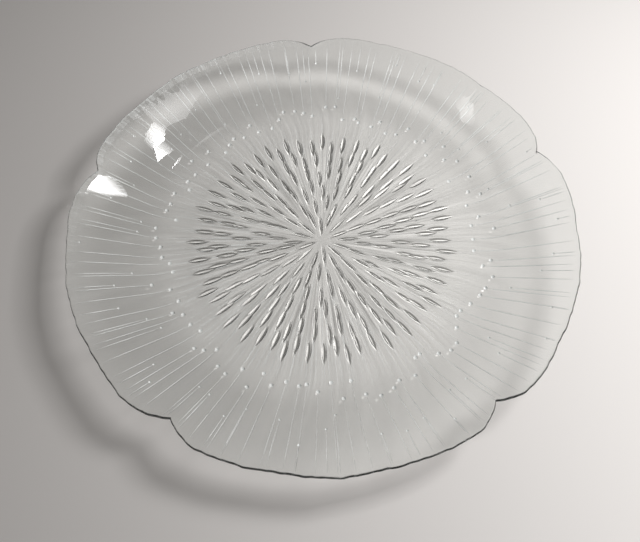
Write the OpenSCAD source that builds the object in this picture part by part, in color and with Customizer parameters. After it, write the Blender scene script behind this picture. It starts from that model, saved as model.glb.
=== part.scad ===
// Shallow pressed-glass serving dish in the form of an open flower.
// One piece of clear glass: a flat floor, a wall that rises in petals to a notched rim,
// and a sunburst of leaves with pearls around it, raised on the underside within and beyond a low foot ring.
// Millimetres, +Z up. The origin is the centre of the foot ring, on the table. A notch points along +Y.

/* [Rim] */
// Radius of the rim across the petals
rim_r = 160; // [130:1:200]
// Height of the rim above the table
rim_h = 25; // [20:0.5:40]
// Thickness of the glass at the rim, which is rounded over
rim_t = 2.4; // [2:0.1:4]
// Number of petals round the rim
petal_count = 5; // [3:1:8]
// How far the notch between two petals cuts into the rim
notch_depth = 7.5; // [3:0.5:12]
// Radius of the rounded shoulder on either side of a notch
shoulder_r = 32; // [15:1:45]
// How soon the crease below a notch dies out towards the floor
crease_fade = 2; // [1.5:0.1:4]

/* [Floor and foot] */
// Radius at which the flat floor turns up into the wall
floor_r = 97; // [85:1:110]
// Thickness of the glass under the floor
floor_t = 4.2; // [3:0.1:6]
// Radius of the bend from the floor into the straight wall
bend_r = 55; // [20:1:80]
// Width of the flat face that the foot ring stands on
foot_w = 2; // [1.5:0.5:5]
// Width of the slope on either side of that face
foot_slope_w = 1.5; // [1:0.5:4]
// Gap that the foot ring keeps between the table and the highest relief
stand_gap = 0.15; // [0.05:0.05:0.5]

/* [Leaves] */
// Length of one leaf of the sunburst
leaf_l = 16.5; // [10:0.5:22]
// Width of a leaf in the outermost row
leaf_w = 3.4; // [2:0.1:5]
// Width of a leaf in the innermost row
core_leaf_w = 2.2; // [1:0.1:4]
// Height of the ridge along a leaf
leaf_h = 0.75; // [0.3:0.05:1]
// Rows of leaves from the middle outwards, by the number of leaves in each
leaf_counts = [16, 24, 34, 42, 52, 64];
// Radius at the centre that the leaves leave clear
leaf_core_r = 3; // [1:0.5:8]
// How far the leaves of a row stand in or out of its line
leaf_stagger = 3.5; // [0:0.5:5]
// How far the leaves of a row lean off even spacing, as a share of that spacing
leaf_sway = 0.15; // [0:0.05:0.3]

/* [Pearls] */
// Number of pearls scattered beyond the foot ring
pearl_count = 96; // [20:1:120]
// Diameter of a pearl where it meets the glass
pearl_d = 2.6; // [1.5:0.1:4]
// Height of a pearl above the glass
pearl_h = 0.6; // [0.3:0.05:1]
// Width of the band that the pearls lie in
pearl_band_w = 18; // [8:1:30]
// How far the pearls lean off even spacing, as a share of that spacing
pearl_sway = 0.3; // [0:0.05:0.5]

/* [Hidden] */

// Steps up the bend and the straight of the wall's section, over its lip and round each petal
bend_steps = 4;
straight_steps = 5;
lip_steps = 4;
shoulder_steps = 7;
petal_steps = 14;
// Overlap that joins the wall to the floor, and the depth that relief is rooted in the glass
lap = 2;
root = 0.5;
// Share of a leaf's length that its solid runs on past each tip, inside the glass
tip_run = 0.05;
// Turn that scatters the leaves of a row
golden_turn = 180 * (3 - sqrt(5));
// Turn and gain of the wave that scatters the pearls, and where it starts for their angle and their radius
scatter_turn = 47.3;
scatter_gain = 917.3;
angle_start = 20;
radius_start = 70;
// Power that draws the pearls together near the foot ring
pearl_crowding = 1.5;

// Levels of the relief's ground, of the middle of the floor's glass and of the floor inside
ground_z = max(leaf_h, pearl_h) + stand_gap;
mid_z = ground_z + floor_t / 2;
floor_z = ground_z + floor_t;

// Middle of the wall's thickness: a bend that leaves the floor level, then a straight slope up to the lip
wall_run = rim_r - rim_t / 2 - floor_r;
wall_rise = rim_h - rim_t / 2 - mid_z;
bend_drop = bend_r - wall_rise;
wall_angle = asin(bend_r / norm([wall_run, bend_drop])) - atan2(bend_drop, wall_run);
bend_l = bend_r * wall_angle * PI / 180;
straight_l = (wall_run - bend_r * sin(wall_angle)) / cos(wall_angle);

// Plan of the rim: the angle that a shoulder takes up beside its notch
half_petal = 180 / petal_count;
first_petal = 90 + half_petal;
notch_r = rim_r - notch_depth;
shoulder_centre_r = rim_r - shoulder_r;
shoulder_angle = acos((shoulder_centre_r ^ 2 + notch_r ^ 2 - shoulder_r ^ 2) / (2 * shoulder_centre_r * notch_r));

// Foot ring, and the sunburst inside it
foot_out_r = floor_r - lap - foot_slope_w;
foot_in_r = foot_out_r - foot_w;
leaf_zone_r = foot_in_r - foot_slope_w;
row_count = len(leaf_counts);
row_pitch = (leaf_zone_r - leaf_core_r - leaf_l - 2 * leaf_stagger) / (row_count - 1);

// A leaf is the edge of a large wheel that dips below the ground; a pearl is the cap of a ball
leaf_wheel_r = leaf_l ^ 2 / (8 * leaf_h);
leaf_half_turn = asin(leaf_l * (1 / 2 + tip_run) / leaf_wheel_r);
pearl_ball_r = (pearl_d ^ 2 / 4 + pearl_h ^ 2) / (2 * pearl_h);

// Number between 0 and 1 that looks random from one pearl to the next
function scatter(i, start) =
    let (x = scatter_gain * sin(scatter_turn * i + start))
    x - floor(x);

// Angles round one petal, closer together on its shoulders
function petal_angles() = concat(
    [for (i = [0:shoulder_steps - 1]) -half_petal + shoulder_angle * i / shoulder_steps],
    [for (i = [0:petal_steps - 1]) (half_petal - shoulder_angle) * (2 * i / petal_steps - 1)],
    [for (i = [0:shoulder_steps - 1]) half_petal - shoulder_angle * (1 - i / shoulder_steps)]
);

// How far the rim lies inside its full radius at an angle from the petal's middle
function notch_cut(angle) =
    let (t = abs(angle) - (half_petal - shoulder_angle))
    t <= 0 ? 0 : rim_r - shoulder_centre_r * cos(t) - sqrt(shoulder_r ^ 2 - (shoulder_centre_r * sin(t)) ^ 2);

// Lengths up the wall's section, from the floor's edge, at which it has points below the lip
wall_lengths = concat(
    [for (i = [0:bend_steps - 1]) bend_l * i / bend_steps],
    [for (i = [0:straight_steps - 1]) bend_l + straight_l * i / straight_steps]
);

// A point of the wall's section, a given length up it, inside (side 1) or outside (side -1)
function wall_point(length, side) =
    let (angle = wall_angle * min(1, length / bend_l))
    let (t = side * (floor_t + (rim_t - floor_t) * length / (bend_l + straight_l)) / 2)
    let (beyond = max(0, length - bend_l))
    [floor_r + (bend_r - t) * sin(angle) + beyond * cos(angle),
     mid_z + bend_r - (bend_r - t) * cos(angle) + beyond * sin(angle)];

// A point on the rounded lip, from the inside of the wall (turn 90) over to its outside (turn -90)
function lip_point(turn) =
    [rim_r - rim_t / 2 * (1 - cos(wall_angle + turn)),
     rim_h - rim_t / 2 * (1 - sin(wall_angle + turn))];

// Closed section of the wall as [radius, height] points
function wall_section() = concat(
    [[floor_r - lap, ground_z], [floor_r - lap, floor_z]],
    [for (length = wall_lengths) wall_point(length, 1)],
    [for (i = [0:lip_steps]) lip_point(90 - 180 * i / lip_steps)],
    [for (i = [len(wall_lengths) - 1:-1:0]) wall_point(wall_lengths[i], -1)]
);

// A point of the section carried round to an angle on a petal, drawn in towards the notch
function petal_point(p, angle, turn) =
    let (share = max(0, p[0] - floor_r) / (rim_r - floor_r))
    let (r = p[0] - notch_cut(angle) * share ^ crease_fade)
    [r * cos(angle + turn), r * sin(angle + turn), p[1]];

// Height of the underside at a distance from the centre, away from the notches
function under_z(r) = lookup(r, [for (length = wall_lengths) wall_point(length, -1)]);

// Width of the leaves in a row
function row_leaf_w(row) = core_leaf_w + (leaf_w - core_leaf_w) * row / (row_count - 1);

// Angle and distance from the centre of a leaf's middle
function leaf_angle(row, i) = (i + row / 2 + leaf_sway * sin(2 * i * golden_turn)) * 360 / leaf_counts[row];
function leaf_r(row, i) =
    leaf_core_r + leaf_l / 2 + row_pitch * row + leaf_stagger * (1 + cos(i * golden_turn));

// Angle and distance from the centre of a pearl
function pearl_angle(i) = (i + pearl_sway * (2 * scatter(i, angle_start) - 1)) * 360 / pearl_count;
function pearl_r(i) =
    floor_r + pearl_d / 2 + (pearl_band_w - pearl_d) * scatter(i, radius_start) ^ pearl_crowding;

// Petalled wall from the floor's edge up to the rounded rim
module wall() {
    section = wall_section();
    angles = petal_angles();
    m = len(section);
    n = len(angles) * petal_count;
    points = [
        for (petal = [0:petal_count - 1], angle = angles, p = section)
            petal_point(p, angle, first_petal + petal * 2 * half_petal)
    ];
    faces = [
        for (i = [0:n - 1], j = [0:m - 1], half = [0, 1])
            let (a = i * m + j)
            let (b = i * m + (j + 1) % m)
            let (c = ((i + 1) % n) * m + (j + 1) % m)
            let (d = ((i + 1) % n) * m + j)
            half == 0 ? [a, c, b] : [a, d, c]
    ];
    polyhedron(points, faces);
}

// Flat glass of the floor
module floor_disc() {
    translate([0, 0, ground_z])
        cylinder(h = floor_t, r = floor_r - lap / 2, $fn = 180);
}

// Low ring that the dish stands on
module foot_ring() {
    rotate_extrude($fn = 180)
        polygon([
            [foot_in_r - foot_slope_w, ground_z],
            [foot_in_r, 0],
            [foot_out_r, 0],
            [foot_out_r + foot_slope_w, ground_z],
            [foot_out_r + foot_slope_w, ground_z + root],
            [foot_in_r - foot_slope_w, ground_z + root]
        ]);
}

// One leaf along +X: a short stretch of the wheel's edge, with a ridge along its middle
module leaf(width) {
    depth = leaf_h + root;
    half_w = depth * width / (2 * leaf_h);
    translate([0, 0, ground_z - leaf_h + leaf_wheel_r])
        rotate([90, 90 + leaf_half_turn, 0])
            rotate_extrude(angle = 2 * leaf_half_turn, $fn = 720)
                polygon([[leaf_wheel_r, 0], [leaf_wheel_r - depth, half_w], [leaf_wheel_r - depth, -half_w]]);
}

// Rows of leaves round the middle of the underside
module sunburst() {
    for (row = [0:row_count - 1], i = [0:leaf_counts[row] - 1])
        rotate([0, 0, leaf_angle(row, i)])
            translate([leaf_r(row, i), 0, 0])
                leaf(row_leaf_w(row));
}

// Pearls scattered on the underside beyond the foot ring
module pearls() {
    for (i = [0:pearl_count - 1])
        rotate([0, 0, pearl_angle(i)])
            translate([pearl_r(i), 0, under_z(pearl_r(i)) - pearl_h + pearl_ball_r])
                sphere(r = pearl_ball_r, $fn = 24);
}

module dish() {
    color("lightcyan", 0.5)
        union() {
            union() {
                floor_disc();
                foot_ring();
                sunburst();
            }
            wall();
            pearls();
        }
}

dish();
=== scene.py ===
"""Looks of the glass serving dish: one pressing of clear glass on a pale table, in the light of a window."""
from math import acos, asin, atan2, cos, hypot, pi, radians, sin, sqrt

import bpy
import numpy as np
from mathutils import Matrix, Vector
from mathutils.geometry import delaunay_2d_cdt


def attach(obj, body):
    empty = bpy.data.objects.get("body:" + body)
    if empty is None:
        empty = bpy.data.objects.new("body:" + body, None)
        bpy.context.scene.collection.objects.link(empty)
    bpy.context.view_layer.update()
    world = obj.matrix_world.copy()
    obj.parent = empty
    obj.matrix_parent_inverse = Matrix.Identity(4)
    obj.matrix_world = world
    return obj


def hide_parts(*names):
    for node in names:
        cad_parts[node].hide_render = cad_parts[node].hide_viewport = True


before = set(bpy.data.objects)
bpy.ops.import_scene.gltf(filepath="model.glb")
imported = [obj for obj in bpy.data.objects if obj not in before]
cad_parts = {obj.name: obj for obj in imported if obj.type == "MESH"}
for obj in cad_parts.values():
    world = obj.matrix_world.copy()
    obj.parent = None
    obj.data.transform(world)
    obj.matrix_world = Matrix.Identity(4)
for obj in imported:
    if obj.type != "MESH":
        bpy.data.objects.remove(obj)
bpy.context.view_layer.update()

# Sizes of the dish in millimetres, the same as in the part's source
MM = 0.001
RIM_R = 160.0
RIM_H = 25.0
RIM_T = 2.4
PETAL_COUNT = 5
NOTCH_DEPTH = 7.5
SHOULDER_R = 32.0
CREASE_FADE = 2.0
FLOOR_R = 97.0
FLOOR_T = 4.2
BEND_R = 55.0
FOOT_W = 2.0
FOOT_SLOPE_W = 1.5
FLOOR_LAP = 2.0
STAND_GAP = 0.15
LEAF_L = 16.5
LEAF_W = 3.4
CORE_LEAF_W = 2.2
LEAF_H = 0.75
LEAF_COUNTS = (16, 24, 34, 42, 52, 64)
LEAF_CORE_R = 3.0
LEAF_STAGGER = 3.5
LEAF_SWAY = 0.15
PEARL_COUNT = 96
PEARL_D = 2.6
PEARL_H = 0.6
PEARL_BAND_W = 18.0
PEARL_SWAY = 0.3
PEARL_CROWDING = 1.5
GOLDEN_TURN = pi * (3 - sqrt(5))
SCATTER_TURN = 47.3
SCATTER_GAIN = 917.3
ANGLE_START = 20.0
RADIUS_START = 70.0

# Waviness of the rim: a ripple along each petal, and waves by their number round the rim, height and phase,
# which fade out down the wall
RIPPLE_H = 0.5
RIPPLE_TURN = radians(25)
WAVES = ((23, 0.2, 0.4), (37, 0.16, 1.9), (61, 0.14, 3.1), (97, 0.1, 2.2), (149, 0.08, 0.7))
WAVE_FADE = 10.0

# Softer and finer forms of the underside that only the looks have, in millimetres
FOOT_SOFT_W = 9.0
LEAF_ROUND = 2.6
THREAD_W = 0.36
THREAD_H = 0.05
THREAD_OUT = 12.0
THREAD_END = (96.0, 112.0)
FREE_THREADS = 150
FREE_THREAD_START = (18.0, 70.0)
FREE_THREAD_SWAY = 0.5
FILAMENT_W = 0.7
FILAMENT_H = 0.2
FILAMENT_END = 158.5
FILAMENT_STOP = 2.0
SEED_COUNT = 60
SEED_D = 1.5
SEED_H = 0.4
SEED_SWAY = 0.45
SEED_BAND = (117.0, 153.0)

# Painted streaks of light and shade on the table below the glass, along the rays from the centre: number of
# streaks to a radian and to a metre outwards, their detail, the noise levels that they start at and are full at,
# and their strength in the light on the table, by radius
STREAK_ROUND = 55.0
STREAK_ALONG = 10.0
STREAK_DETAIL = 2.0
STREAK_ROUGHNESS = 0.8
STREAK_NOISE = (0.5, 0.65)
PAINTED_STREAK_R = (5.0, 68.0, 80.0, 150.0)
PAINTED_STREAK = (0.4, 0.4, 0.12, 0.08)

# Share of white scatter in the skin of the fine relief. On threads it is frost in part and a painted glint in
# part, which grows away from the lamp, so they keep only a least part of it on the lamp's side. On filaments it
# is a painted glint, shown by how far they are turned from the eye
THREAD_FROST_AND_GLINT = 0.8
THREAD_FROST_LEAST = 0.2
PEARL_FROST = 0.9
FILAMENT_SHINE = 1.0
FILAMENT_FACING = (0.0, 0.16)
FILAMENT_SHOWN = (1.0, 0.1)

# Light that the wall carries to the table, more or less than its even share, by radius: on the side away from
# the lamp, on the far side, where all of it lies a little further out, and on the side of the lamp
LAMP_ANGLE = radians(13)
WALL_LIGHT_R = (97.0, 112.0, 128.0, 140.0, 147.0, 151.0, 160.0)
AWAY_LIGHT = (0.0, -0.17, -0.17, 0.05, 0.1, -0.5, -0.65)
FAR_LIGHT = (0.0, -0.08, -0.08, 0.45, -0.1, 0.1, 0.0)
LAMP_SIDE_LIGHT = (0.0, 0.0, 0.0, -0.08, -0.12, -0.12, -0.12)
FAR_LIGHT_OUT = 5.0
# How far a place counts as away from the lamp: square to the lamp, and the change from there
AWAY_BESIDE = 0.75
AWAY_CHANGE = 0.55

# Painted glint on the rim, a white and crinkled stretch: how far it reaches in, its strength, its middle and its
# width, and the crinkles' fineness beside the waves of the rim, mean level, height and gain
RIM_WHITE_R = 152.0
RIM_WHITE = 1.0
RIM_WHITE_ANGLE = radians(138)
RIM_WHITE_TURN = radians(35)
CRINKLE_FINENESS = 3
CRINKLE_MEAN = 0.75
CRINKLE_H = 0.25
CRINKLE_GAIN = 2

# Painted shade along the lip, a dark line: the steps of the lip that it lies on, the direction in which it is
# darkest, and its strength square to that direction and the change from there
PAINTED_SHADE_STEPS = range(2, 7)
PAINTED_SHADE_ANGLE = radians(40)
PAINTED_SHADE_BESIDE = 0.45
PAINTED_SHADE_CHANGE = 0.75

# Light that a leaf carries to the table, on its edge and where it gathers; the half width of that line and how
# far it leans from the middle when the lamp stands square to the leaf, as shares of the leaf's half width
LEAF_CARRY = (0.25, 2.0)
LEAF_LINE = 0.5
LEAF_LEAN = 0.5

# Light that a pearl carries to the table, from its core to its edge, and the size of that core as a share
PEARL_CARRY = (2.0, 0.45)
PEARL_CORE = 0.3

# Share of the lamp's light that a plain face lets through, and a face of a leaf, from faces square to the light
# to faces along it
PLAIN_PASSED = ((0.33, 1.0), (0.5, 0.95), (0.65, 0.85), (0.78, 0.73), (0.9, 0.5), (1.0, 0.05))
LEAF_FACING = (0.15, 0.6)
LEAF_PASSED = (1.2, 0.3)

# Glass: its colour, the dark colour of the painted shade along the lip, and the share of the room's light that it
# passes
CLEAR_GLASS = (0.98, 0.995, 0.985, 1)
PAINTED_SHADE_COLOUR = (0.2, 0.24, 0.22, 1)
ROOM_THROUGH_GLASS = (0.93, 0.945, 0.93, 1)
GLASS_IOR = 1.5
# Haze in its skin, as a share of white scatter, in clouds of noise
HAZE_SCALE = 45.0
HAZE_DETAIL = 3.0
HAZE_NOISE = (0.35, 0.75)
HAZE = (0.004, 0.03)
# Unevenness of its surface: the noise, and the strength of the bump and its height in metres
UNEVEN_SCALE = 60.0
UNEVEN_DETAIL = 1.0
UNEVEN_STRENGTH = 0.012
UNEVEN_H = 0.001

# Table top, in metres, and its gap below the foot's flat in millimetres
TABLE_HALF = 3.0
TABLE_GAP = 0.05
TABLE_COLOUR = (0.8, 0.77, 0.75, 1)
TABLE_ROUGHNESS = 0.6

# Windows that light the scene: name, place, aim, width and depth in metres, and watts
WINDOWS = (
    ("window", (0.457, 0.106, 0.5), (0, 0, 0), 0.22, 0.18, 3.85),
    ("front_window", (0.26, -0.28, 0.25), (0, 0, 0), 0.3, 0.3, 0.4),
)
# Windows that show only as reflections: the same, and the spread of their light in degrees. First a row of
# panes from one place to another
PANE_COUNT = 6
PANE_PLACES = ((0.045, 0.0, 0.475), (0.05, 0.19, 0.447))
PANE = ((-0.1325, 0.0365, 0.0173), 0.055, 0.05, 0.00032, 6.5)
SINGLE_PANES = (
    ("upper_pane", (0.059, 0.205, 0.469), (-0.117, 0.0865, 0.019), 0.022, 0.018, 0.00002, 4.5),
    ("right_pane", (-0.036, 0.195, 0.485), (0.106, 0.0898, 0.0173), 0.022, 0.012, 0.000002, 4.5),
    ("pale_pane", (0.035, 0.197, 0.495), (-0.118, 0.1, 0.022), 0.06, 0.03, 0.0001, 14),
)
# Light of the room: its colour, and its strength by direction, from left to right and from the horizon up
ROOM_COLOUR = (1, 0.95, 0.88, 1)
ROOM_X = (0.2, 0.9)
ROOM_X_STRENGTH = (0.03, 0.34)
ROOM_Z = (0.0, 0.35)
ROOM_Z_SHARE = (0.5, 1.0)
GLASS_BOUNCES = 32

# Camera: its angles in radians, the point that it looks at, its distance and lift in millimetres, and its lens
CAMERA_ELEVATION = 1.060571
CAMERA_ROLL = -0.010198
CAMERA_TURN = radians(-2.45)
CAMERA_TARGET = (-1.735, -23.238, 0)
CAMERA_DISTANCE = 477.577
CAMERA_LIFT = 2.0
SENSOR_W = 36.0
PHOTO_W = 640
FOCAL_PIXELS = 746.84
CLIP_START = 0.01

# Steps of the mesh
COLUMNS = 720
PLAN_COLUMNS = 240
BEND_STEPS = 12
STRAIGHT_STEPS = 12
LIP_STEPS = 10
CREASE_RING = 8
FOOT_STEP = 1.25
LEAF_POINTS = 15
LEAF_STRIPS = (0.3, 0.6, 0.85)
THREAD_POINTS = 9
FILAMENT_POINTS = 15
PEARL_RINGS = ((0.35, 6), (0.7, 10))
PEARL_EDGE_POINTS = 14
FLOOR_POINTS = 700
FLOOR_MARGIN = 2.5
SECTION_POINTS = 800
# Decimals of a point in plan, the distance at which points join, the least width to divide by, and the least
# height that counts as relief, in millimetres
PLAN_DECIMALS = 6
JOIN = 1e-4
LEAST_W = 1e-6
LEAST_RELIEF = 1e-4

# Kinds of relief, in the order of their rows
LEAF, THREAD, FILAMENT, PEARL = range(4)

# Derived sizes
GROUND_Z = max(LEAF_H, PEARL_H) + STAND_GAP
FLOOR_Z = GROUND_Z + FLOOR_T
MID_Z = GROUND_Z + FLOOR_T / 2
WALL_RUN = RIM_R - RIM_T / 2 - FLOOR_R
WALL_RISE = RIM_H - RIM_T / 2 - MID_Z
BEND_DROP = BEND_R - WALL_RISE
WALL_ANGLE = asin(BEND_R / hypot(WALL_RUN, BEND_DROP)) - atan2(BEND_DROP, WALL_RUN)
BEND_L = BEND_R * WALL_ANGLE
STRAIGHT_L = (WALL_RUN - BEND_R * sin(WALL_ANGLE)) / cos(WALL_ANGLE)
PETAL_TURN = 2 * pi / PETAL_COUNT
NOTCH_ANGLE = pi / 2
NOTCH_R = RIM_R - NOTCH_DEPTH
SHOULDER_C = RIM_R - SHOULDER_R
SHOULDER_TURN = acos((SHOULDER_C ** 2 + NOTCH_R ** 2 - SHOULDER_R ** 2) / (2 * SHOULDER_C * NOTCH_R))
FOOT_OUT_R = FLOOR_R - FLOOR_LAP - FOOT_SLOPE_W
FOOT_IN_R = FOOT_OUT_R - FOOT_W
FOOT_MID_R = (FOOT_IN_R + FOOT_OUT_R) / 2
FOOT_REACH = FOOT_W / 2 + FOOT_SOFT_W
LEAF_ZONE_R = FOOT_IN_R - FOOT_SLOPE_W
ROW_PITCH = (LEAF_ZONE_R - LEAF_CORE_R - LEAF_L - 2 * LEAF_STAGGER) / (len(LEAF_COUNTS) - 1)


def scatter(i, start):
    """Number between 0 and 1 that looks random from one place to the next."""
    x = SCATTER_GAIN * sin(radians(SCATTER_TURN * i + start))
    return x - np.floor(x)


def rim_shape(theta):
    """How far the rim lies inside its full radius at an angle: by its notches, and by its waviness."""
    from_middle = np.abs((theta - NOTCH_ANGLE) % PETAL_TURN - PETAL_TURN / 2)
    t = np.clip(from_middle - (PETAL_TURN / 2 - SHOULDER_TURN), 0, None)
    notch = RIM_R - SHOULDER_C * np.cos(t) - np.sqrt(SHOULDER_R ** 2 - (SHOULDER_C * np.sin(t)) ** 2)
    ripple = RIPPLE_H * np.cos(2 * pi * from_middle / RIPPLE_TURN) * (1 - t / SHOULDER_TURN)
    waves = sum(high * np.sin(count * theta + phase) for count, high, phase in WAVES)
    return notch, -ripple - waves


def in_place(r, theta, z):
    """Points of the glass in metres from section radius, angle and height, drawn in below the notches."""
    share = np.clip(r - FLOOR_R, 0, None) / (RIM_R - FLOOR_R)
    notch, waves = rim_shape(theta)
    r = r - notch * share ** CREASE_FADE - waves * share ** WAVE_FADE
    return np.stack([r * np.cos(theta), r * np.sin(theta), z + 0 * r], -1) * MM


def wall_side(length, side):
    """Radius and height of the wall's section a length up it, inside (side 1) or outside (side -1)."""
    turn = WALL_ANGLE * np.minimum(1, length / BEND_L)
    offset = side * (FLOOR_T + (RIM_T - FLOOR_T) * length / (BEND_L + STRAIGHT_L)) / 2
    beyond = np.maximum(0, length - BEND_L)
    return (FLOOR_R + (BEND_R - offset) * np.sin(turn) + beyond * np.cos(turn),
            MID_Z + BEND_R - (BEND_R - offset) * np.cos(turn) + beyond * np.sin(turn))


def wall_lengths():
    """Lengths up the wall's section at which the mesh has rings, from the floor's edge to the lip."""
    bend = np.linspace(0, BEND_L, BEND_STEPS, endpoint=False)
    return np.concatenate([bend, np.linspace(BEND_L, BEND_L + STRAIGHT_L, STRAIGHT_STEPS + 1)])


def section_rings():
    """Radius and height of each ring of the mesh up the inside of the wall and over the lip, and the radius at
    which its light is taken."""
    for length in wall_lengths()[1:]:
        r, z = wall_side(length, 1)
        yield r, z, r
    for i in range(1, LIP_STEPS):
        turn = WALL_ANGLE + pi / 2 - pi * i / LIP_STEPS
        yield RIM_R - RIM_T / 2 * (1 - cos(turn)), RIM_H - RIM_T / 2 * (1 - sin(turn)), RIM_R


def under_z(r):
    """Height of the underside at a section radius, without its relief."""
    table_r, table_z = wall_side(np.linspace(0, BEND_L + STRAIGHT_L, SECTION_POINTS), -1)
    return np.interp(r, table_r, table_z)


def leaf_places():
    """Angle and radius of the middle of every leaf, and its width, which grows from row to row."""
    for row, count in enumerate(LEAF_COUNTS):
        width = CORE_LEAF_W + (LEAF_W - CORE_LEAF_W) * row / (len(LEAF_COUNTS) - 1)
        for i in range(count):
            turn = (i + row / 2 + LEAF_SWAY * sin(2 * i * GOLDEN_TURN)) * 2 * pi / count
            r = LEAF_CORE_R + LEAF_L / 2 + ROW_PITCH * row + LEAF_STAGGER * (1 + cos(i * GOLDEN_TURN))
            yield turn, r, width


def pearl_places():
    """Angle, radius, diameter and height of every pearl: large ones by the foot ring, small ones up the wall."""
    for i in range(PEARL_COUNT):
        turn = (i + PEARL_SWAY * (2 * scatter(i, ANGLE_START) - 1)) * 2 * pi / PEARL_COUNT
        r = FLOOR_R + PEARL_D / 2 + (PEARL_BAND_W - PEARL_D) * scatter(i, RADIUS_START) ** PEARL_CROWDING
        yield turn, r, PEARL_D, PEARL_H
    for i in range(SEED_COUNT):
        turn = (i + 0.5 + SEED_SWAY * (2 * scatter(i, RADIUS_START) - 1)) * 2 * pi / SEED_COUNT
        r = SEED_BAND[0] + (SEED_BAND[1] - SEED_BAND[0]) * scatter(i, ANGLE_START)
        yield turn, r, SEED_D, SEED_H


def thread_places():
    """Angle, inner and outer radius, width and height of every thread, out of the leaves and between them."""
    for i, (turn, r, _) in enumerate(leaf_places()):
        last = THREAD_END[0] + (THREAD_END[1] - THREAD_END[0]) * scatter(i, RADIUS_START)
        yield turn, r, min(r + LEAF_L / 2 + THREAD_OUT, last), THREAD_W, THREAD_H
    for i in range(FREE_THREADS):
        turn = (i + FREE_THREAD_SWAY * scatter(i, RADIUS_START)) * 2 * pi / FREE_THREADS
        start = np.interp(scatter(i, ANGLE_START), (0, 1), FREE_THREAD_START)
        yield turn, start, np.interp(scatter(i, RADIUS_START), (0, 1), THREAD_END), THREAD_W, THREAD_H


def filament_places():
    """Angle, inner and outer radius, width and height of the filament from each pearl up to the rim."""
    for i, (turn, r, _, _) in enumerate(pearl_places()):
        yield turn, r, FILAMENT_END - FILAMENT_STOP * scatter(i, ANGLE_START), FILAMENT_W, FILAMENT_H


def along(points, turn):
    """Coordinates of plan points along and across a ray from the centre."""
    c, s = cos(turn), sin(turn)
    return points[:, 0] * c + points[:, 1] * s, points[:, 1] * c - points[:, 0] * s


def leaf_taper(u, r):
    """Share of a leaf's full width and height at a distance along its ray."""
    return np.clip(1 - (2 * (u - r) / LEAF_L) ** 2, 0, 1)


def thread_taper(t):
    """Share of a thread's full width and height at a share of its length."""
    return np.sqrt(np.clip(np.sin(pi * np.clip(t, 0, 1)), 0, 1))


def leaf_relief(points):
    """Height of the leaves below the underside's ground at plan points."""
    high = np.zeros(len(points))
    for turn, r, width in leaf_places():
        u, v = along(points, turn)
        taper = leaf_taper(u, r)
        across = np.abs(v) / np.maximum(taper * width / 2, LEAST_W)
        high = np.maximum(high, LEAF_H * taper * np.clip(1 - across ** LEAF_ROUND, 0, 1))
    return high


def line_relief(points, places):
    """Height of threads or filaments below the ground at plan points."""
    high = np.zeros(len(points))
    for turn, start, end, width, height in places:
        u, v = along(points, turn)
        taper = thread_taper((u - start) / (end - start))
        across = np.abs(v) / np.maximum(taper * width / 2, LEAST_W)
        high = np.maximum(high, height * taper * np.clip(1 - across ** 2, 0, 1))
    return high


def pearl_relief(points):
    """Height of the pearls below the ground at plan points."""
    high = np.zeros(len(points))
    for turn, r, d, h in pearl_places():
        u, v = along(points, turn)
        ball = (d * d / 4 + h * h) / (2 * h)
        high = np.maximum(high, np.sqrt(np.clip(ball ** 2 - (u - r) ** 2 - v ** 2, 0, None)) - (ball - h))
    return high


def relief_kinds(points):
    """Height at plan points of the leaves, threads, filaments and pearls, one row for each kind."""
    return np.stack([leaf_relief(points), line_relief(points, thread_places()),
                     line_relief(points, filament_places()), pearl_relief(points)])


def foot_swell(points):
    """Height of the foot ring below the ground at plan points: a soft swell, with a flat to stand on."""
    from_flat = np.abs(np.hypot(points[:, 0], points[:, 1]) - FOOT_MID_R) - FOOT_W / 2
    share = np.clip(1 - from_flat.clip(0, None) / FOOT_SOFT_W, 0, 1)
    return GROUND_Z * share * share * (3 - 2 * share)


def relief(points):
    """Height of the whole relief below the underside's ground at plan points, never below the foot's flat."""
    swell = foot_swell(points)
    return swell + relief_kinds(points).max(0) * (1 - swell / GROUND_Z)


def leaf_light(points):
    """Light that the leaves carry to the table at plan points, gathered on their side away from the lamp."""
    light = np.ones(len(points))
    for turn, r, width in leaf_places():
        u, v = along(points, turn)
        half = leaf_taper(u, r) * width / 2
        inside = np.abs(v) < half
        to_lamp = sin(LAMP_ANGLE - turn)
        off_line = (v[inside] / half[inside] * np.sign(to_lamp) + LEAF_LEAN * abs(to_lamp)) / LEAF_LINE
        light[inside] = np.interp(off_line ** 2, (0, 1), (LEAF_CARRY[1], LEAF_CARRY[0]))
    return light


def pearl_light(points):
    """Light that the pearls carry to the table at plan points, gathered in their core."""
    light = np.ones(len(points))
    for turn, r, d, _ in pearl_places():
        u, v = along(points, turn)
        share = np.hypot(u - r, v) / (d / 2)
        light = np.where(share < 1, np.interp(share, (PEARL_CORE, 1), PEARL_CARRY), light)
    return light


def wall_light(r, theta):
    """Light that the wall carries to the table at a radius, all round."""
    away = np.clip(AWAY_BESIDE - AWAY_CHANGE * np.cos(theta - LAMP_ANGLE), 0, 1)
    far = np.clip(np.sin(theta), 0, 1)
    lamp_side = np.clip(np.cos(theta - LAMP_ANGLE), 0, 1)
    r = r - FAR_LIGHT_OUT * far
    return 1 + sum(share * np.interp(r, WALL_LIGHT_R, light) for share, light in
                   ((away, AWAY_LIGHT), (far, FAR_LIGHT), (lamp_side, LAMP_SIDE_LIGHT)))


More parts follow.
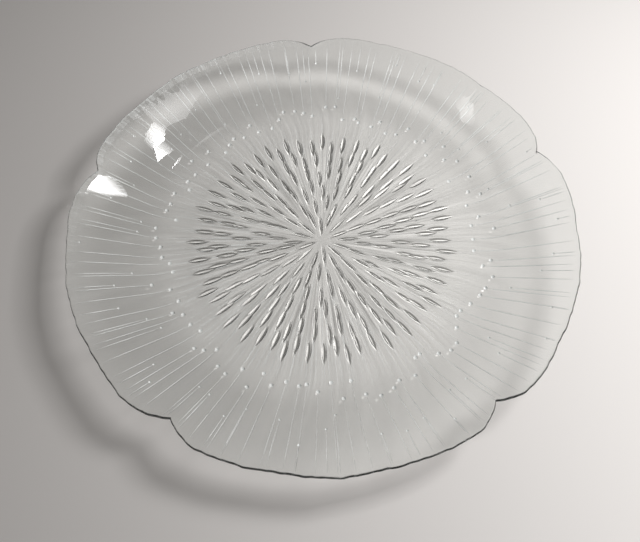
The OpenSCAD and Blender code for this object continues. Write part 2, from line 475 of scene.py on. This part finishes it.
def rim_painted_glint(r, theta):
    """Painted glint on the rim at a radius, all round, laid as white scatter in its skin: one stretch, broken by
    fine crinkles.
    """
    from_middle = (theta - RIM_WHITE_ANGLE + pi) % (2 * pi) - pi
    crinkle = np.prod([CRINKLE_MEAN + CRINKLE_H * np.sin(CRINKLE_FINENESS * count * theta + phase)
                       for count, _, phase in WAVES], axis=0)
    stretch = RIM_WHITE * np.exp(-(from_middle / RIM_WHITE_TURN) ** 2) * np.clip(CRINKLE_GAIN * crinkle, 0, 1)
    return stretch * np.clip((r - RIM_WHITE_R) / (RIM_R - RIM_WHITE_R), 0, 1)


def painted_lip_shade(theta):
    """Strength of the painted shade along the lip, all round."""
    return np.clip(PAINTED_SHADE_BESIDE + PAINTED_SHADE_CHANGE * np.cos(theta - PAINTED_SHADE_ANGLE), 0, 1)


def under_values(middles):
    """Values of the underside's faces, for the glass's looks, from their middles in plan."""
    kinds = relief_kinds(middles)
    shown = np.where(kinds.max(0) > LEAST_RELIEF, kinds.argmax(0), -1)
    # Threads' white: frost, and a painted glint that grows away from the lamp
    from_lamp = 0.5 - 0.5 * np.cos(np.arctan2(middles[:, 1], middles[:, 0]) - LAMP_ANGLE)
    thread_frost_and_glint = THREAD_FROST_AND_GLINT * (THREAD_FROST_LEAST + (1 - THREAD_FROST_LEAST) * from_lamp)
    return {"gather": shown == LEAF,
            "frost_and_glint": np.select([shown == THREAD, shown == PEARL], [thread_frost_and_glint, PEARL_FROST], 0.0),
            "shine": np.where(shown == FILAMENT, FILAMENT_SHINE, 0.0),
            "painted_streaks": np.interp(np.hypot(*middles.T), PAINTED_STREAK_R, PAINTED_STREAK),
            "carry": leaf_light(middles) * pearl_light(middles)}


class Plan:
    """Points and lines in plan that a mesh has to follow."""

    def __init__(self):
        self.points = []
        self.lines = []
        self.sharp = []

    def add(self, points):
        """Adds loose points, and gives the number of the first."""
        first = len(self.points)
        self.points.extend((float(x), float(y)) for x, y in np.round(points, PLAN_DECIMALS))
        return first

    def line(self, points, sharp=False, closed=False):
        """Adds a line from point to point."""
        first = self.add(points)
        count = len(self.points) - first
        for i in range(count if closed else count - 1):
            self.lines.append((first + i, first + (i + 1) % count))
            self.sharp.append(sharp)

    def ray_line(self, turn, u, v, sharp=False):
        """Adds a line by its points' distances along and across a ray from the centre."""
        c, s = cos(turn), sin(turn)
        self.line(np.stack([u * c - v * s, u * s + v * c], -1), sharp)

    def ring(self, r, count, shift=0.0):
        """Points of a ring, turned by a share of their spacing."""
        theta = NOTCH_ANGLE + (np.arange(count) + shift) * 2 * pi / count
        return np.stack([r * np.cos(theta), r * np.sin(theta)], -1)

    def fill(self):
        """Triangles over the plan: points, faces, the new index of each given point and the sharp edges."""
        points, edges, faces, old_points, old_edges, _ = delaunay_2d_cdt(
            [Vector(p) for p in self.points], self.lines, [], 0, JOIN, True)
        new_index = {}
        for i, olds in enumerate(old_points):
            for old in olds:
                new_index[old] = i
        sharp = [e for e, olds in zip(edges, old_edges)
                 if any(o < len(self.sharp) and self.sharp[o] for o in olds)]
        return np.array([(p[0], p[1]) for p in points]), faces, new_index, sharp


def plan_rings():
    """Radii of the rings of points on the underside, over the foot ring's swell and up the wall."""
    foot = np.arange(FOOT_MID_R - FOOT_REACH, FOOT_MID_R + FOOT_REACH + FOOT_STEP / 2, FOOT_STEP)
    wall = wall_side(wall_lengths(), -1)[0][:-1]
    return np.concatenate([foot, wall[wall > foot[-1] + FOOT_STEP / 2]])


def line_radii(start, end, count, rings):
    """Radii of the points along a fine line: even on the flat ground, and on the rings beyond it."""
    even = np.linspace(start, end, count)[1:-1]
    on_rings = rings[(rings > start) & (rings < end)]
    return np.concatenate([[start], even[even < rings[0]], on_rings, [end]])


def underside_plan():
    """Plan of the underside: its edge, the leaves, the threads, the filaments, the pearls and the rings."""
    plan = Plan()
    rings = plan_rings()
    edge_r = wall_side(BEND_L + STRAIGHT_L, -1)[0]
    plan.line(plan.ring(edge_r, COLUMNS), closed=True)
    for turn, r, width in leaf_places():
        u = np.linspace(-1, 1, LEAF_POINTS)
        half = width / 2 * (1 - u * u)
        x = r + u * LEAF_L / 2
        plan.ray_line(turn, x, 0 * x)
        for side in (-1, 1):
            plan.ray_line(turn, x, side * half, sharp=True)
            for strip in LEAF_STRIPS:
                plan.ray_line(turn, x[1:-1], side * half[1:-1] * strip)
    for places, count in ((thread_places(), THREAD_POINTS), (filament_places(), FILAMENT_POINTS)):
        for turn, start, end, width, _ in places:
            x = line_radii(start, end, count, rings)
            half = thread_taper((x - start) / (end - start)) * width / 2
            plan.ray_line(turn, x, 0 * x)
            for side in (-1, 1):
                plan.ray_line(turn, x, side * half, sharp=True)
    for turn, r, d, _ in pearl_places():
        middle = np.array([r * cos(turn), r * sin(turn)])
        plan.add([middle])
        for share, count in PEARL_RINGS:
            plan.add(middle + plan.ring(d / 2 * share, count))
        plan.line(middle + plan.ring(d / 2, PEARL_EDGE_POINTS), sharp=True, closed=True)
    for i, r in enumerate(rings):
        plan.add(plan.ring(r, PLAN_COLUMNS, i % 2 / 2))
    return plan


def floor_plan():
    """Plan of the flat floor inside: its edge, and points spread over it like seeds in a flower head."""
    plan = Plan()
    plan.line(plan.ring(FLOOR_R, COLUMNS), closed=True)
    i = np.arange(FLOOR_POINTS)
    r = (FLOOR_R - FLOOR_MARGIN) * np.sqrt((i + 0.5) / FLOOR_POINTS)
    plan.add(np.stack([r * np.cos(i * GOLDEN_TURN), r * np.sin(i * GOLDEN_TURN)], -1))
    return plan


def ring_faces(first, second):
    """Quads between two rings of vertex numbers."""
    after_first, after_second = np.roll(first, -1), np.roll(second, -1)
    return np.stack([first, second, after_second, after_first], -1).tolist()


def glass_mesh():
    """The whole pressing as one closed mesh: floor and wall inside, rounded lip, and underside with relief."""
    theta = NOTCH_ANGLE + np.arange(COLUMNS) * 2 * pi / COLUMNS
    points, faces, sharp = [], [], []

    def add_points(new):
        first = sum(len(p) for p in points)
        points.append(new)
        return first

    flat, flat_faces, flat_index, _ = floor_plan().fill()
    first = add_points(np.concatenate([flat, np.full((len(flat), 1), FLOOR_Z)], 1) * MM)
    faces.extend([[first + v for v in f] for f in flat_faces])

    rings = [np.array([first + flat_index[i] for i in range(COLUMNS)])]
    light_radii = [FLOOR_R]
    for r, z, light_r in section_rings():
        rings.append(add_points(in_place(np.full(COLUMNS, r), theta, z)) + np.arange(COLUMNS))
        light_radii.append(light_r)

    plan, plan_faces, plan_index, plan_sharp = underside_plan().fill()
    r = np.hypot(plan[:, 0], plan[:, 1])
    first = add_points(in_place(r, np.arctan2(plan[:, 1], plan[:, 0]), under_z(r) - relief(plan)))
    under = slice(len(faces), len(faces) + len(plan_faces))
    faces.extend([[first + v for v in reversed(f)] for f in plan_faces])
    sharp.extend((first + a, first + b) for a, b in plan_sharp)
    rings.append(np.array([first + plan_index[i] for i in range(COLUMNS)]))
    light_radii.append(RIM_R)

    carry, frost_and_glint, edge = [1.0] * len(faces), [0.0] * len(faces), [0.0] * len(faces)
    wall_rings = len(wall_lengths())
    for k, (low, high) in enumerate(zip(rings, rings[1:])):
        faces.extend(ring_faces(low, high))
        r = (light_radii[k] + light_radii[k + 1]) / 2
        # Ring by ring: light carried to the table, the painted glint on the rim and the painted shade along the
        # lip
        carry.extend(wall_light(r, theta))
        frost_and_glint.extend(rim_painted_glint(r, theta))
        edge.extend(painted_lip_shade(theta) if k - wall_rings + 1 in PAINTED_SHADE_STEPS else 0 * theta)
    notches = np.arange(PETAL_COUNT) * (COLUMNS // PETAL_COUNT)
    for low, high in zip(rings[CREASE_RING:], rings[CREASE_RING + 1:]):
        sharp.extend(zip(low[notches].tolist(), high[notches].tolist()))

    none = np.zeros(len(faces))
    values = {"gather": none.copy(), "frost_and_glint": np.array(frost_and_glint), "shine": none.copy(), "painted_streaks": none.copy(),
              "carry": np.array(carry), "edge": np.array(edge)}
    for name, part in under_values(plan[np.array(plan_faces)].mean(1)).items():
        values[name][under] = part

    mesh = bpy.data.meshes.new("glass_dish")
    mesh.from_pydata(np.concatenate(points).tolist(), [], faces)
    mesh.update()
    mark_sharp(mesh, sharp)
    for name, value in values.items():
        mesh.attributes.new(name, "FLOAT", "FACE").data.foreach_set("value", value)
    return mesh


def mark_sharp(mesh, sharp):
    """Shades the mesh smooth, apart from the given edges."""
    mesh.polygons.foreach_set("use_smooth", np.ones(len(mesh.polygons), bool))
    ends = np.empty(len(mesh.edges) * 2, np.int64)
    mesh.edges.foreach_get("vertices", ends)
    ends = np.sort(ends.reshape(-1, 2), axis=1)
    wanted = np.sort(np.array(sharp, np.int64), axis=1)
    size = len(mesh.vertices)
    flags = np.isin(ends[:, 0] * size + ends[:, 1], wanted[:, 0] * size + wanted[:, 1])
    mesh.edges.foreach_set("use_edge_sharp", flags)


def plug(tree, value, socket):
    """Gives an input a plain value, or the output of another node."""
    if isinstance(value, bpy.types.NodeSocket):
        tree.links.new(value, socket)
    else:
        socket.default_value = value


def add_node(tree, kind, settings=None, **inputs):
    """A shader node with its settings, and with inputs by name."""
    node = tree.nodes.new(kind)
    for name, value in (settings or {}).items():
        setattr(node, name, value)
    for name, value in inputs.items():
        plug(tree, value, node.inputs[name.replace("_", " ")])
    return node


def operation_node(tree, kind, operation, values):
    """A node that works out one operation, with its inputs in order."""
    node = add_node(tree, kind, {"operation": operation})
    for socket, value in zip(node.inputs, values):
        plug(tree, value, socket)
    return node


def number(tree, operation, *values):
    """A number worked out from other numbers."""
    return operation_node(tree, "ShaderNodeMath", operation, values).outputs["Value"]


def vector(tree, operation, *values, output="Vector"):
    """A vector, or another output, worked out from vectors."""
    return operation_node(tree, "ShaderNodeVectorMath", operation, values).outputs[output]


def map_range(tree, value, levels, results, **settings):
    """A number carried over from two levels to two results."""
    node = add_node(tree, "ShaderNodeMapRange", settings, Value=value, From_Min=levels[0], From_Max=levels[1],
                    To_Min=results[0], To_Max=results[1])
    return node.outputs["Result"]


def mix_colours(tree, share, first, second):
    """Two colours mixed by a share."""
    node = add_node(tree, "ShaderNodeMix", {"data_type": "RGBA", "clamp_result": False},
                    Factor=share, A=first, B=second)
    return node.outputs["Result"]


def mix_shaders(tree, share, first, second):
    """Two shaders mixed by a share that comes from another node."""
    mix = tree.nodes.new("ShaderNodeMixShader")
    tree.links.new(share, mix.inputs["Fac"])
    tree.links.new(first.outputs[0], mix.inputs[1])
    tree.links.new(second.outputs[0], mix.inputs[2])
    return mix


def face_value(tree, name):
    """A value that the mesh keeps on its faces."""
    return add_node(tree, "ShaderNodeAttribute", {"attribute_name": name}).outputs["Fac"]


def noise(tree, place, **inputs):
    """Noise at a place."""
    return add_node(tree, "ShaderNodeTexNoise", Vector=place, **inputs).outputs["Fac"]


def grey_ramp(tree, share, stops):
    """A grey by a share, through stops that are each a position and a level."""
    ramp = add_node(tree, "ShaderNodeValToRGB", Fac=share)
    elements = ramp.color_ramp.elements
    while len(elements) < len(stops):
        elements.new(0.5)
    for element, (position, level) in zip(elements, stops):
        element.position = position
        element.color = (level, level, level, 1)
    return ramp.outputs["Color"]


def rays_from_centre(tree, place):
    """Coordinates that change fast round the dish's middle and slowly outwards from it."""
    level = vector(tree, "MULTIPLY", place, (1, 1, 0))
    length = vector(tree, "LENGTH", level, output="Value")
    unit = add_node(tree, "ShaderNodeSeparateXYZ", Vector=vector(tree, "NORMALIZE", level))
    joined = add_node(tree, "ShaderNodeCombineXYZ", X=unit.outputs["X"], Y=unit.outputs["Y"], Z=length)
    return vector(tree, "MULTIPLY", joined.outputs["Vector"], (STREAK_ROUND, STREAK_ROUND, STREAK_ALONG))


def scatter_and_painted_glints(tree, place, facing):
    """Share of white scatter in the glass: a slight haze, the frosted faces, and the painted glints on the rim,
    the threads and the filaments.
    """
    haze = map_range(tree, noise(tree, place, Scale=HAZE_SCALE, Detail=HAZE_DETAIL), HAZE_NOISE, HAZE)
    # Filaments' white is a painted glint, strongest where they face the eye
    head_on = map_range(tree, facing, FILAMENT_FACING, FILAMENT_SHOWN)
    filaments = number(tree, "MULTIPLY", face_value(tree, "shine"), head_on)
    skin = number(tree, "ADD", face_value(tree, "frost_and_glint"), filaments)
    return number(tree, "ADD", skin, haze)


def lamp_light(tree, place, facing):
    """Light of a lamp that a face lets through, by how it faces the light, what it carries and painted streaks.
    """
    plain = grey_ramp(tree, facing, PLAIN_PASSED)
    leaf = map_range(tree, facing, LEAF_FACING, LEAF_PASSED, interpolation_type="SMOOTHSTEP")
    passed = mix_colours(tree, face_value(tree, "gather"), plain, leaf)
    carried = vector(tree, "MULTIPLY", passed, face_value(tree, "carry"))
    # Painted streaks of light and shade along the rays from the centre
    rays = rays_from_centre(tree, place)
    fine = noise(tree, rays, Scale=1.0, Detail=STREAK_DETAIL, Roughness=STREAK_ROUGHNESS)
    streaks = map_range(tree, fine, STREAK_NOISE, (0.0, face_value(tree, "painted_streaks")), clamp=False)
    return vector(tree, "MULTIPLY", carried, number(tree, "ADD", 1.0, streaks))


def glass_material():
    """Clear pressed glass with a faint green cast, slightly uneven and hazy, and frosted on its finest relief,
    with painted glints on the rim, threads and filaments and a painted shade along the lip. Light that falls on
    the table passes straight through it, as much as each face lets through, with painted streaks."""
    material = bpy.data.materials.new("clear_pressed_glass")
    material.use_nodes = True
    tree = material.node_tree
    shader = tree.nodes["Principled BSDF"]

    # Plain values, and then the nodes that vary some of them over the dish
    shader.inputs["Base Color"].default_value = CLEAR_GLASS
    shader.inputs["Transmission Weight"].default_value = 1.0
    shader.inputs["IOR"].default_value = GLASS_IOR
    shader.inputs["Roughness"].default_value = 0.0
    place = add_node(tree, "ShaderNodeTexCoord").outputs["Object"]
    facing = add_node(tree, "ShaderNodeLayerWeight", Blend=0.5).outputs["Facing"]
    # The glass's colour darkens along the lip by a painted shade
    colour = mix_colours(tree, face_value(tree, "edge"), CLEAR_GLASS, PAINTED_SHADE_COLOUR)
    passing = number(tree, "SUBTRACT", 1.0, scatter_and_painted_glints(tree, place, facing))
    uneven = add_node(tree, "ShaderNodeBump", Strength=UNEVEN_STRENGTH, Distance=UNEVEN_H,
                      Height=noise(tree, place, Scale=UNEVEN_SCALE, Detail=UNEVEN_DETAIL))
    tree.links.new(colour, shader.inputs["Base Color"])
    tree.links.new(passing, shader.inputs["Transmission Weight"])
    tree.links.new(uneven.outputs["Normal"], shader.inputs["Normal"])

    to_lamp = add_node(tree, "ShaderNodeBsdfTransparent", Color=lamp_light(tree, place, facing))
    to_room = add_node(tree, "ShaderNodeBsdfTransparent", Color=ROOM_THROUGH_GLASS)
    path = add_node(tree, "ShaderNodeLightPath")
    lit = mix_shaders(tree, path.outputs["Is Shadow Ray"], shader, to_lamp)
    whole = mix_shaders(tree, path.outputs["Is Diffuse Ray"], lit, to_room)
    tree.links.new(whole.outputs["Shader"], tree.nodes["Material Output"].inputs["Surface"])
    return material


def pale_floor():
    """Plain pale table top, a hair below the foot's flat, so the two faces don't share one plane."""
    mesh = bpy.data.meshes.new("floor")
    half, z = TABLE_HALF, -TABLE_GAP * MM
    corners = [(-half, -half, z), (half, -half, z), (half, half, z), (-half, half, z)]
    mesh.from_pydata(corners, [], [(0, 1, 2, 3)])
    floor = bpy.data.objects.new("floor", mesh)
    bpy.context.scene.collection.objects.link(floor)
    material = bpy.data.materials.new("pale_floor")
    material.use_nodes = True
    shader = material.node_tree.nodes["Principled BSDF"]
    shader.inputs["Base Color"].default_value = TABLE_COLOUR
    shader.inputs["Roughness"].default_value = TABLE_ROUGHNESS
    mesh.materials.append(material)


def window(name, place, aim, width, depth, watts):
    """One rectangular window, placed and aimed in metres, with its width along X and its depth along Y."""
    data = bpy.data.lights.new(name, "AREA")
    data.shape = "RECTANGLE"
    data.size = width
    data.size_y = depth
    data.energy = watts
    lamp = bpy.data.objects.new(name, data)
    back = (Vector(place) - Vector(aim)).normalized()
    across = Vector((0, 1, 0)).cross(back).normalized()
    axes = Matrix((across, back.cross(across), back)).transposed().to_4x4()
    lamp.matrix_world = Matrix.Translation(place) @ axes
    lamp.visible_camera = False
    lamp.visible_glossy = False
    lamp.visible_transmission = False
    bpy.context.scene.collection.objects.link(lamp)
    return lamp


def mirrored_window(name, place, aim, width, depth, watts, spread):
    """A window that shows only as a reflection in the glass, near the place that it is aimed at."""
    lamp = window(name, place, aim, width, depth, watts)
    lamp.data.spread = radians(spread)
    lamp.visible_glossy = True
    lamp.visible_diffuse = False


def room_light():
    """A window to the right, a weak one to the right in front, the reflections of windows on the wall of the
    dish, and the room itself, brighter on the windows' side."""
    for row in WINDOWS:
        window(*row)
    first, last = map(Vector, PANE_PLACES)
    for i in range(PANE_COUNT):
        mirrored_window("pane_%d" % i, first.lerp(last, (i + 0.5) / PANE_COUNT), *PANE)
    for row in SINGLE_PANES:
        mirrored_window(*row)

    world = bpy.data.worlds.new("room")
    world.use_nodes = True
    tree = world.node_tree
    direction = add_node(tree, "ShaderNodeTexCoord").outputs["Generated"]
    split = add_node(tree, "ShaderNodeSeparateXYZ", Vector=direction)
    level = map_range(tree, split.outputs["X"], ROOM_X, ROOM_X_STRENGTH)
    above = map_range(tree, split.outputs["Z"], ROOM_Z, ROOM_Z_SHARE)
    background = tree.nodes["Background"]
    background.inputs["Color"].default_value = ROOM_COLOUR
    tree.links.new(number(tree, "MULTIPLY", level, above), background.inputs["Strength"])
    bpy.context.scene.world = world


def photo_camera():
    """Camera at the photograph's place, fitted to the rim's outline."""
    back = Vector((0, -cos(CAMERA_ELEVATION), sin(CAMERA_ELEVATION)))
    right = Vector((1, 0, 0))
    up = back.cross(right)
    rolled_right = cos(CAMERA_ROLL) * right + sin(CAMERA_ROLL) * up
    rolled_up = cos(CAMERA_ROLL) * up - sin(CAMERA_ROLL) * right
    place = (Vector(CAMERA_TARGET) + CAMERA_DISTANCE * back + Vector((0, 0, CAMERA_LIFT))) * MM
    axes = Matrix((rolled_right, rolled_up, back)).transposed().to_4x4()
    data = bpy.data.cameras.new("camera")
    data.sensor_fit = "HORIZONTAL"
    data.sensor_width = SENSOR_W
    data.lens = SENSOR_W * FOCAL_PIXELS / PHOTO_W
    data.clip_start = CLIP_START
    camera = bpy.data.objects.new("camera", data)
    camera.matrix_world = Matrix.Rotation(CAMERA_TURN, 4, "Z") @ Matrix.Translation(place) @ axes
    bpy.context.scene.collection.objects.link(camera)
    bpy.context.scene.camera = camera


dish = bpy.data.objects.new("glass_dish", glass_mesh())
bpy.context.scene.collection.objects.link(dish)
dish.data.materials.append(glass_material())
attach(dish, "root")
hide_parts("dish")

pale_floor()
room_light()
photo_camera()
bpy.context.scene.view_settings.view_transform = "Standard"
bpy.context.scene.cycles.blur_glossy = 0.0
bpy.context.scene.cycles.max_bounces = GLASS_BOUNCES
bpy.context.scene.cycles.transmission_bounces = GLASS_BOUNCES
